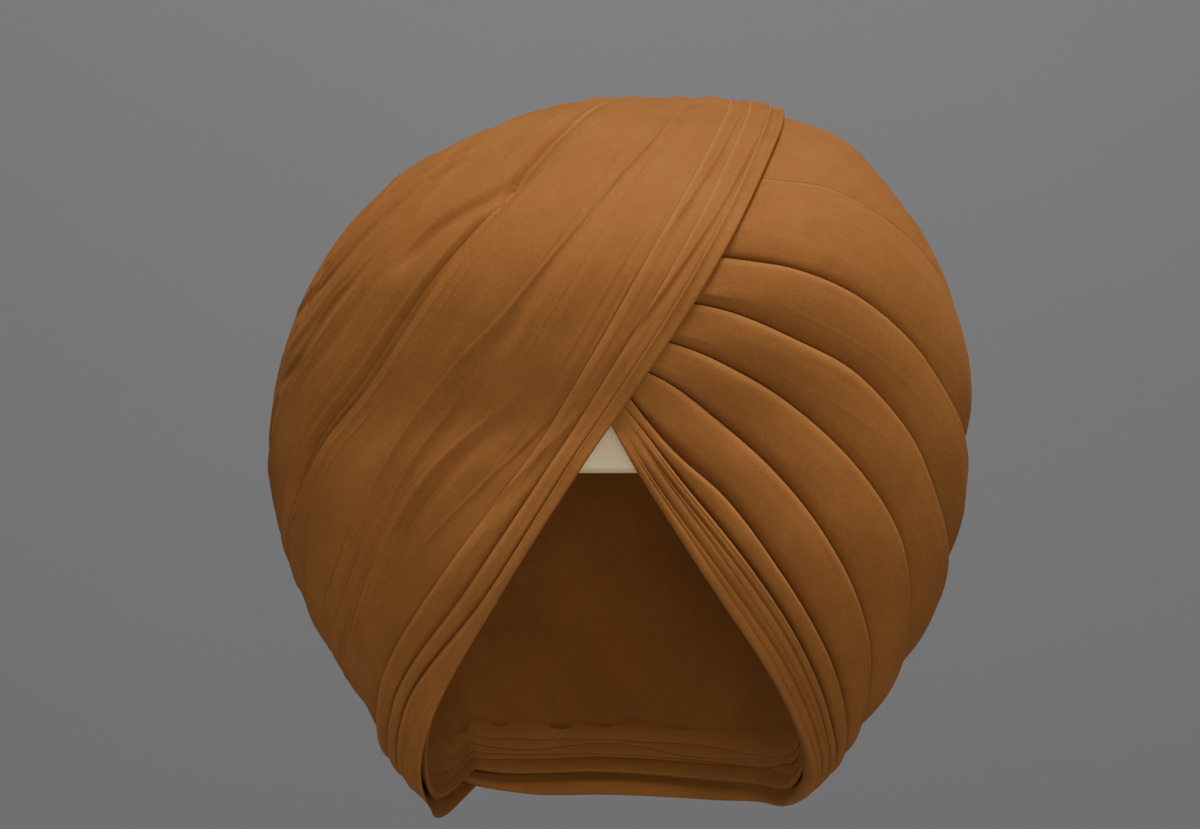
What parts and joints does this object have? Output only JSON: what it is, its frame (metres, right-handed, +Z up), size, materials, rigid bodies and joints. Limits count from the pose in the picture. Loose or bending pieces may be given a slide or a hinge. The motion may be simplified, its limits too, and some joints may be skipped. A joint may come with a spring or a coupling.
{
  "type": "tied turban pagri",
  "caption": "Tied cloth turban: a diagonal last wrap with edge pleats crosses fanned side folds over a peaked face opening, with a plain band under it and an open hollow for the head",
  "frame": {"origin": "where the turban sits on the head: on the head's upright axis, level with the lower edge of the under band", "axes": "+Z up, -Y the front of the turban, +X the side of the fanned folds, which is at the right as seen from the front"},
  "size_m": [0.2573, 0.2723, 0.2638],
  "materials": {
    "turban_cotton": "brushed matt cotton, ochre brown",
    "band_gauze": "plain open weave, cream"
  },
  "bodies": {
    "root": {"under_band": "band_gauze", "inner_turns": "turban_cotton", "crown_fold": "turban_cotton", "brow_fold": "turban_cotton", "temple_fold": "turban_cotton", "upper_ear_fold": "turban_cotton", "ear_fold": "turban_cotton", "lower_ear_fold": "turban_cotton", "inner_fold": "turban_cotton", "edge_fold": "turban_cotton", "shoulder_turn": "turban_cotton", "last_wrap": "turban_cotton", "outer_pleat": "turban_cotton", "middle_pleat": "turban_cotton", "edge_pleat": "turban_cotton"}
  },
  "joints": []
}
